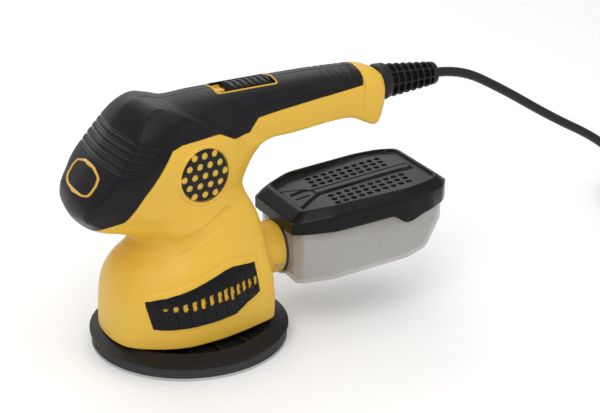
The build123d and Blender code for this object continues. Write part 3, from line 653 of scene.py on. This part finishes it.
def addGrille(side):
    # disc of rings: height falls into a hexagonal field of round holes, and a yellow rim swells round it
    radius = grille["radius"]
    r = np.concatenate([np.linspace(0.02, radius, 62), radius + np.array([0.25, 0.5, 1.2, 2.0, 2.8, 3.2])])
    a = np.linspace(0, 2 * np.pi, 280, endpoint=False)
    rr, aa = np.meshgrid(r, a, indexing="ij")
    dx, dz = rr * np.cos(aa), rr * np.sin(aa)
    height = np.interp(rr - radius, [-1.2, -0.2, 0, 0.25, 0.5, 1.2, 2.0, 2.8, 3.2],
                       [grille["rise"], 0.5, -0.5, -0.5, 0.7, 0.9, 0.7, 0.1, -0.5])
    nearest = np.full(rr.shape, 9.0)
    for row in range(-2, 3):
        count = 5 - abs(row)
        for k in range(count):
            hx, hz = (k - (count - 1) / 2) * grille["pitch"], row * grille["pitch"] * 0.866
            nearest = np.minimum(nearest, np.hypot(dx - hx, dz - hz))
    hole = nearest < grille["hole"]
    height = np.where(hole, -grille["holeDepth"], height)
    starts = np.stack([grille["x"] + dx, np.full(rr.shape, 80.0), grille["z"] + dz], axis=-1)
    base = landOn(starts, (0, -1, 0))
    back = base[-1:].copy()
    base[..., 1] += height
    back[..., 1] -= 5.0
    points = np.concatenate([base, back])
    points[..., 1] *= side
    yellow = (nearest < grille["hole"] - 0.35) | (rr > radius + 0.3)
    yellow = np.concatenate([yellow, yellow[-1:]])
    tint = (yellow[:-1] & yellow[1:]).astype(int)
    part = sheetPart(points * mm, aroundCols=True, capFirst=True, capLast=True,
                     tint=tint.ravel().tolist() + [0, 1])
    return addPiece("roundGrille" + sideName[side].title(), "housing", [part],
                    ["dark_plastic", "yellow_plastic"], hides=["round_grille_" + sideName[side]], sharp=35)


badge = {  # half outline (y, z), then the frame's width and height
    "outline": [(0, 129.4), (8, 128.9), (18.7, 125.5), (20.6, 121.5), (19.7, 115), (12, 113.2), (0, 112.5)],
    "middle": (0, 121), "band": 1.9, "rise": 0.8,
}


def addBadge():
    # a plain six-sided frame on the head's face: its outline carried inwards, with a rounded top
    half = np.array(badge["outline"], float)
    whole = np.concatenate([half, half[-2:0:-1] * [-1, 1]])
    outline = rounded(whole, 4.0, 8)
    middle = np.array(badge["middle"])
    span = outline - middle
    rows = []
    rise = badge["rise"]
    for pull, lift in ((0, -0.6), (0, 0.35), (0.25, rise), (0.75, rise), (1, 0.35), (1, -0.6)):
        ring = middle + span * (1 - pull * badge["band"] / np.linalg.norm(span, axis=1, keepdims=True))
        base = landOn(np.concatenate([np.full((len(ring), 1), -120.0), ring], axis=1), (1, 0, 0))
        base[:, 0] -= lift * 0.85
        base[:, 2] += lift * 0.5
        rows.append(base)
    frameRing = sheetPart(np.stack(rows) * mm, aroundCols=True, aroundRows=True)
    return addPiece("headBadge", "housing", [frameRing], ["badge_orange"],
                    hides=["head_badge"], sharp=45)


switchPlace = {"front": 19.3, "rear": 61.2, "half": 10.6, "depth": 4.4}


def addSwitchWell():
    # tray let into the handle: thin yellow rim, then walls down to a floor painted black as shade in the
    # well, with one raised yellow corner
    x0, x1, w = switchPlace["front"], switchPlace["rear"], switchPlace["half"]
    x, y = np.meshgrid(np.linspace(x0, x1, 120), np.linspace(-w, w, 70), indexing="ij")
    inside = -roundedBox(x - (x0 + x1) / 2, y, (x1 - x0) / 2, w, 3.0)
    height = np.interp(inside, [-9, -0.3, 0, 0.25, 0.8, 1.1, 1.6],
                       [-1.5, -1.5, -0.3, 0.3, 0.3, -0.6, -switchPlace["depth"]])
    block = softStep(-roundedBox(x - 25.2, y - 4.4, 4.2, 4.6, 0.8), 0.5)
    height = np.maximum(height, -switchPlace["depth"] + 1.2 * block)
    # painted shade: the well's floor, all but the raised corner, takes black plastic to stand in for the
    # shadow there
    paintedShadeFloor = (inside > 0.9) & (block < 0.1)
    base = landOn(np.stack([x, y, np.full(x.shape, 220.0)], axis=-1), (0, 0, -1))
    front = base.copy()
    front[..., 2] += height
    back = base[:, [-1, 0]].copy()
    back[..., 2] -= 5.4
    return addPiece("switchWell", "housing", [slab(front, back, paintedShadeFloor)],
                    ["yellow_plastic", "black_plastic"], hides=["switch_bezel"], sharp=40)


slider = {"front": 29.4, "rear": 58.4, "half": 8.3, "rise": 0.9, "ribs": 7}


def addSlider():
    # thumb slide: crowned block whose top waves in seven cross ribs
    x0, x1, w = slider["front"], slider["rear"], slider["half"]
    x, y = np.meshgrid(np.linspace(x0, x1, 150), np.linspace(-w, w, 46), indexing="ij")
    along01 = (x - x0) / (x1 - x0)
    end = np.minimum(along01, 1 - along01) * (x1 - x0)
    side = w - np.abs(y)
    wave = np.clip(np.sin(2 * np.pi * slider["ribs"] * along01 - np.pi / 2) * 1.6, -1, 1)
    height = slider["rise"] - 0.55 + 0.55 * wave * softStep(side - 1.4, 0.8) * softStep(end - 0.8, 0.4)
    height -= 2.6 * np.clip(1 - side / 1.2, 0, 1) ** 2 + 2.6 * np.clip(1 - end / 1.2, 0, 1) ** 2
    base = landOn(np.stack([x, y, np.full(x.shape, 220.0)], axis=-1), (0, 0, -1))
    front = base.copy()
    front[..., 2] += height
    back = base[:, [-1, 0]].copy()
    back[..., 2] = np.minimum(back[..., 2], 164) - 2.3
    return addPiece("switchSlider", "switch", [slab(front, back)], ["black_plastic"],
                    hides=["switch_button"], sharp=50)


strip = {"front": 58.0, "rear": 80.5, "half": 10.5, "rise": 0.8}


def addStrip():
    # black strip let into the underside of the handle's front, with rounded edges
    x0, x1, w = strip["front"], strip["rear"], strip["half"]
    x, y = np.meshgrid(np.linspace(x0, x1, 60), np.linspace(-w, w, 50), indexing="ij")
    inside = -roundedBox(x - (x0 + x1) / 2, y, (x1 - x0) / 2, w, 2.0)
    base = landOn(np.stack([x, y, np.full(x.shape, 95.0)], axis=-1), (0, 0, 1))
    front = base.copy()
    front[..., 2] -= np.interp(inside, [-9, 0, 0.8, 1.6], [-0.8, -0.3, 0.6, strip["rise"]])
    back = base[:, [-1, 0]].copy()
    back[..., 2] += 2.5
    return addPiece("handleStrip", "housing", [slab(front, back)], ["soft_grip"],
                    hides=["handle_strip"], sharp=40)


for side in (-1, 1):
    addVent(side)
    addGrille(side)
addBadge()
addSwitchWell()
addSlider()
addStrip()
print("trim made")

# ---- dust box, lid and outlet

outletValues = {"radius": 17.0, "axisHeight": 50.3, "joint": 63.6, "bore": 14.6, "end": 76,
                "tabAngle": -159, "tabHalf": 0.055, "tabEnds": (54.5, 62.6), "tabRise": 0.9}

lidValues = {  # plan (x, half width), crease and lower edge (x, z), then height by distance from the edge
    "front": 61.5, "rear": 174.6,
    "plan": [(61.5, 26.5), (67, 31.2), (88, 38.9), (140, 41.4), (156, 39.2), (169.5, 33), (174.6, 25)],
    "crease": [(61.5, 75.2), (88, 80), (140, 83.3), (158, 84.4), (174.6, 85.2)],
    "low": [(61.5, 67.7), (83, 69.2), (128, 73), (136, 67.5), (141, 67.5), (152, 71.3), (174.6, 74.4)],
    "bevel": ([0, 1.0, 5.6, 6.4, 7.4, 8.6, 9.4], [0, 1.1, 5.0, 5.3, 5.2, 3.5, 3.3]),
    "wall": 1.3, "trayStart": 9.6, "bandRise": 0.9, "notch": (84, 1.5),
    "firstHole": 98.0, "holePitch": 5.8, "rowPitch": 6.0, "rowShift": 0.6, "firstRow": 10.2,
    "holeRadius": 1.65, "holeDepth": 2.2,
}


def lidHeight(x, y, w):
    # bevel and rim by distance from the edge, then the tray: channel, forked steps, thumb notch and holes
    v = lidValues
    ends = np.minimum((x - v["front"]) * 0.8, (v["rear"] - x) * 0.9)
    sides = w - np.abs(y)
    d = np.minimum(sides, ends)
    d = np.where(np.abs(sides - ends) < 4, d - (4 - np.abs(sides - ends)) ** 2 / 16, d)
    height = np.interp(d, *v["bevel"])
    tray = softStep(d - v["trayStart"], 0.8)
    height -= 1.9 * tray * np.clip((149 - x) / 54, 0, 1)
    fork = 4.6 + np.clip(93 - x, 0, 30) * 0.62
    band = softStep(fork - np.abs(y), 0.7) * softStep(162 - x, 1.0)
    height += v["bandRise"] * band * tray
    height -= 0.8 * np.exp(-((np.abs(y) - fork + 1.4) / 0.45) ** 2) * band * tray * softStep(164 - x, 1)
    notchX, notchY = v["notch"]
    notch = softStep(-roundedBox(x - notchX, y - notchY, 7.5, 5.0, 1.5), 0.6)
    island = softStep(-roundedBox(x - 81, y - 0.5, 6, 2.6, 1), 0.5)
    height -= 1.1 * notch * tray * (1 - island * 0.9)
    nearest = np.full(x.shape, 9.0)
    for side in (-1, 1):
        for row in range(3):
            shift = v["rowShift"] * (row if side < 0 else 2 - row)
            hy = side * (v["firstRow"] + row * v["rowPitch"])
            for col in range(10):
                hx = v["firstHole"] + col * v["holePitch"] - shift
                nearest = np.minimum(nearest, np.hypot(x - hx, y - hy))
    return height - v["holeDepth"] * softStep(v["holeRadius"] - nearest, 0.35)


def smoothed(values, window):
    # running mean over an odd window, carried straight on past both ends
    padded = np.pad(values, window // 2, mode="reflect", reflect_type="odd")
    return np.convolve(padded, np.ones(window) / window, mode="valid")


def addLid():
    # cross sections along x: top surface, then the outer wall, the lower edge and the hollow underside
    plan, crease, low = (np.array(lidValues[key]) for key in ("plan", "crease", "low"))
    x0, x1, wall = lidValues["front"], lidValues["rear"], lidValues["wall"]
    x = np.unique(np.concatenate([np.arange(x0, x1, 0.42), [x0, x1]]))
    w = smoothed(np.interp(x, *plan.T), 19)
    top, bottom = smoothed(np.interp(x, *crease.T), 31), smoothed(np.interp(x, *low.T), 5)
    t = np.linspace(-1, 1, 181)
    y = w[:, None] * t
    xs = np.broadcast_to(x[:, None], y.shape)
    front = np.stack([xs, y, top[:, None] + lidHeight(xs, y, w[:, None])], axis=-1)
    within = (w - wall) / w
    skirt = [(1.004, top - 0.8), (1.0, top - 2.5), (0.998, bottom + 0.5), (0.988, bottom), (within, bottom),
             (within, top - 1.6)]
    under = [np.stack([x, w * share, z], axis=-1) for share, z in skirt]
    under = np.stack(under, axis=1)
    mirror = under[:, ::-1] * [1, -1, 1]
    back = np.concatenate([under, mirror], axis=1)
    ends = (back[..., 0] < x0 + 1.4) | (back[..., 0] > x1 - 1.4)   # solid walls at the front and rear
    ends[:, [0, 1, 2, 3, -1, -2, -3, -4]] = False
    lowest = np.broadcast_to(bottom[:, None], back.shape[:2])
    back[..., 2] = np.where(ends, lowest, back[..., 2])
    return addPiece("dustBoxLid", "lid", [slab(front, back)], ["black_plastic"],
                    hides=["dust_box_lid"], sharp=34)


boxValues = {  # plan (x, half width), floor and top edge (x, z), then the ribs on the sides (x, z)
    "plan": [(64.6, 22.5), (68.6, 28.0), (88, 36.0), (140, 38.6), (156, 36.6), (168.5, 30.4), (171.8, 24.5)],
    "floor": [(64.6, 33.0), (67, 31.8), (91, 35.2), (140, 40.2), (152, 43.2), (154.5, 44.6), (169, 60),
              (172.5, 66)],
    "top": [(64.6, 71.5), (88, 74), (128, 77), (172.5, 79)], "corner": 3.0, "wall": 1.8, "ribRise": 0.75,
    "ribs": [[(90, 38.5), (90, 62), (92.5, 64), (107, 63.8)],
             [(108.6, 52), (108.6, 63.5), (119.6, 64.6), (119.6, 52.6)],
             [(121.5, 65), (127, 64.8), (133.5, 59.2), (144, 59.4), (160, 64)]],
}


def boxShell(inset):
    # walls by rows from the top edge down to the floor's rounded edge, and in to the middle line
    v = boxValues
    plan = np.array(v["plan"])
    outline = np.concatenate([plan, plan[::-1] * [1, -1]])
    pts = rounded(outline, [2.5] + [6] * (len(outline) - 2) + [2.5], 7)
    dense = []
    for a, b in zip(pts, np.roll(pts, -1, 0)):
        steps = max(int(np.linalg.norm(b - a) / 1.3), 1)
        dense.append(a + (b - a) * np.linspace(0, 1, steps, endpoint=False)[:, None])
    ring = np.concatenate(dense)
    tangent = np.roll(ring, -1, 0) - np.roll(ring, 1, 0)
    normal = np.stack([tangent[:, 1], -tangent[:, 0]], 1) / np.linalg.norm(tangent, axis=1, keepdims=True)
    outwardSign = np.sign((normal * (ring - ring.mean(0))).sum())
    ring = ring - outwardSign * normal * inset
    floor = np.interp(ring[:, 0], *np.array(v["floor"]).T) + inset
    top = np.interp(ring[:, 0], *np.array(v["top"]).T)
    rows = []
    for share in np.linspace(0, 1, 34):
        z = top + (floor + v["corner"] - top) * share
        out = ring.copy()
        if inset == 0:
            side = np.abs(ring[:, 1]) > 25
            near = np.full(len(ring), 9.0)
            for line in v["ribs"]:
                near = np.minimum(near, distanceToLine(ring[:, 0], z, line))
            out = ring + outwardSign * normal * (v["ribRise"] * np.exp(-(near / 0.5) ** 2) * side)[:, None]
        rows.append(np.concatenate([out, z[:, None]], axis=1))
    for angle in np.linspace(0, np.pi / 2, 7)[1:]:
        pull = v["corner"] * (1 - math.cos(angle))
        out = ring - outwardSign * normal * pull
        z = np.interp(out[:, 0], *np.array(v["floor"]).T) + inset + v["corner"] * (1 - math.sin(angle))
        rows.append(np.concatenate([out, z[:, None]], axis=1))
    last = rows[-1]
    for share in (0.66, 0.33, 0.0):
        rows.append(last * [1, share, 1])
    return np.stack(rows)


def addDustBox():
    outer, inner = boxShell(0), boxShell(boxValues["wall"])
    points = np.concatenate([outer, inner[::-1]])
    profile = [(17.2, 66.6), (18.9, 66.6), (19.2, 65.4), (18.9, 64.2), (17.5, 64.0), (17.2, 64.4)]
    collar = lathe(profile, 96, "x", (0, 0, outletValues["axisHeight"]))
    shell = sheetPart(points * mm, aroundCols=True, aroundRows=True)
    return addPiece("dustBox", "dust_box", [shell, collar], ["clear_grey"],
                    hides=["dust_box"], sharp=40)


addLid()
addDustBox()
print("dust box made")

def addOutlet():
    # turned stub with a dark joint ring in its groove, and a small clear tab lying along it
    v = outletValues
    radius, joint, centre = v["radius"], v["joint"], (0, 0, v["axisHeight"])
    profile = [(16.2, 44), (radius + 0.6, 44), (radius + 0.3, 50), (radius, joint - 0.8),
               (radius - 0.5, joint - 0.5), (radius - 0.5, joint + 0.8), (16.4, joint + 1.2),
               (16.2, v["end"]), (v["bore"], v["end"]), (v["bore"], 44)]
    addPiece("dustOutlet", "housing", [lathe(profile, 120, "x", centre)],
             ["yellow_plastic"], hides=["dust_outlet"], sharp=30)
    ring = [(16.3, joint - 0.4), (17.15, joint - 0.4), (17.35, joint), (17.15, joint + 0.4),
            (16.3, joint + 0.4)]
    addPiece("outletJoint", "housing", [lathe(ring, 120, "x", centre)],
             ["dark_plastic"], sharp=40)
    (x0, x1), half = v["tabEnds"], v["tabHalf"]
    a = math.radians(v["tabAngle"]) + np.linspace(-half, half, 7)
    xx, aa = np.meshgrid(np.linspace(x0, x1, 24), a, indexing="ij")
    edge = np.minimum(np.minimum(xx - x0, x1 - xx), (half - np.abs(aa - aa.mean())) * radius)

    def onRadius(r):
        return np.stack([xx, r * np.cos(aa), v["axisHeight"] + r * np.sin(aa)], axis=-1)

    front = onRadius(radius + v["tabRise"] * np.clip(edge / 0.5, 0, 1) ** 0.5)
    back = onRadius(radius - 1.2)[:, [-1, 0]]
    addPiece("outletTab", "housing", [slab(front, back)], ["clear_grey"], sharp=35)


addOutlet()
print("outlet made")

# ---- cord boot

bootValues = {"start": 142.0, "end": 178.0, "startRadius": 11.0, "endRadius": 7.4, "axisHeight": 150.0,
              "ringGap": 5.0, "bars": 8, "windowDepth": 3.0, "bore": 3.6}


def addBoot():
    # tapered sleeve whose height field leaves a lattice of rings and bars proud of deep windows
    v = bootValues
    turn = np.linspace(0, 2 * np.pi, 220, endpoint=False)
    x, a = np.meshgrid(np.linspace(v["start"], v["end"], 150), turn, indexing="ij")
    share = (x - v["start"]) / (v["end"] - v["start"])
    radius = v["startRadius"] + (v["endRadius"] - v["startRadius"]) * share
    ringWave = np.abs((x - v["start"]) / v["ringGap"] % 1 - 0.5) * v["ringGap"]
    barWave = np.abs(a * v["bars"] / (2 * np.pi) % 1 - 0.5) / v["bars"] * 2 * np.pi * radius
    solid = np.maximum(softStep(ringWave - v["ringGap"] / 2 + 0.85, 0.4),
                       softStep(barWave - np.pi * radius / v["bars"] + 0.7, 0.4))
    collar = softStep(x - v["end"] + 3.2, 0.3)
    solid = np.maximum(solid, collar)
    bump = 0.35 * np.exp(-((ringWave - v["ringGap"] / 2) / 0.7) ** 2) * (1 - collar)
    r = radius - v["windowDepth"] * (1 - solid) + bump
    sleeve = np.stack([x, r * np.cos(a), v["axisHeight"] + r * np.sin(a)], axis=-1)

    def ring(at, size):
        return np.stack([np.full(turn.shape, at), size * np.cos(turn),
                         v["axisHeight"] + size * np.sin(turn)], axis=-1)

    flange = [(134.0, v["bore"]), (134.0, 11.2), (135.2, 12.0), (140.6, 11.9), (141.8, 11.4)]
    tip = [(178.9, 6.9), (179.3, 6.2), (179.0, v["bore"])]
    points = np.concatenate([[ring(*place) for place in flange], sleeve, [ring(*place) for place in tip]])
    return addPiece("cordBoot", "housing",
                    [sheetPart(points * mm, aroundCols=True, aroundRows=True)], ["cord_rubber"],
                    hides=["cord_boot"], sharp=38)


addBoot()
print("boot made")

# ---- cord, coil and plug

cordValues = {
    "diameter": 6.3, "floor": 3.8,
    "route": [(178, 0, 150), (198, 0, 150), (232, 0, 131.5), (275, 0, 104), (316, 0, 81.5), (342, 0, 58),
              (362, 0, 31.5), (381, 0, 11.5), (400, 0, 3.8), (423, 0, 3.8)],
    "coilCentre": (423.0, 44.8), "outerTurn": 44.8, "innerTurn": 25.3, "layerStep": 6.4,
    "turnsEachWay": 4, "pointsPerTurn": 16,
    "tail": [(443, 0, 10.2), (462, 0, 13), (481, 0, 13)],
}


def coilPoints():
    # four turns inwards on the floor, then four turns outwards on top of them
    per = cordValues["pointsPerTurn"]
    outerR, innerR = cordValues["outerTurn"], cordValues["innerTurn"]
    cx, cy = cordValues["coilCentre"]
    turns = np.arange(1, cordValues["turnsEachWay"] * per + 1) / per
    down = outerR - (outerR - innerR) * np.clip((turns - 0.5) / 3.1, 0, 1)
    up = innerR + (outerR - innerR) * np.clip((turns - 0.4) / 3.1, 0, 1)
    lift = np.clip(turns / 0.5, 0, 1) * cordValues["layerStep"]
    radius = np.concatenate([down, up])
    angle = 2 * np.pi * np.concatenate([turns, turns]) - np.pi / 2
    height = cordValues["floor"] + np.concatenate([0 * turns, lift])
    return np.stack([cx + radius * np.cos(angle), cy + radius * np.sin(angle), height], axis=1)


def addCord():
    points = np.concatenate([cordValues["route"], coilPoints(), cordValues["tail"]]) * mm
    data = bpy.data.curves.new("mainsCord", "CURVE")
    data.dimensions = "3D"
    data.bevel_depth = cordValues["diameter"] / 2 * mm
    data.bevel_resolution = 5
    data.resolution_u = 8
    line = data.splines.new("NURBS")
    line.points.add(len(points) - 1)
    line.points.foreach_set("co", np.concatenate([points, np.ones((len(points), 1))], axis=1).ravel())
    line.order_u = 3
    line.use_endpoint_u = True
    data.use_fill_caps = True
    data.materials.append(materials["cord_rubber"])
    obj = bpy.data.objects.new("mainsCord", data)
    bpy.context.scene.collection.objects.link(obj)
    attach(obj, "housing")
    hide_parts("mains_cord", "cord_coil", "cord_tail")
    return obj, float(np.linalg.norm(np.diff(points, axis=0), axis=1).sum())


mainsCord, routeLength = addCord()
print("cord made")

# ---- floor


studio = {"floorHalf": 6.0, "floorDrop": 0.0002, "skyStrength": 0.50}


def addFloor():
    mesh = bpy.data.meshes.new("floor")
    s, z = studio["floorHalf"], -studio["floorDrop"]
    mesh.from_pydata([(-s, -s, z), (s, -s, z), (s, s, z), (-s, s, z)], [], [(0, 1, 2, 3)])
    mesh.materials.append(newMaterial("floorPaint", (1.0, 1.0, 1.0), 0.9)[0])
    floor = bpy.data.objects.new("floor", mesh)
    bpy.context.scene.collection.objects.link(floor)
    world = bpy.data.worlds.new("studio")
    world.use_nodes = True
    world.node_tree.nodes["Background"].inputs["Color"].default_value = (1, 1, 1, 1)
    world.node_tree.nodes["Background"].inputs["Strength"].default_value = studio["skyStrength"]
    bpy.context.scene.world = world


addFloor()
bpy.context.scene.view_settings.view_transform = "Standard"
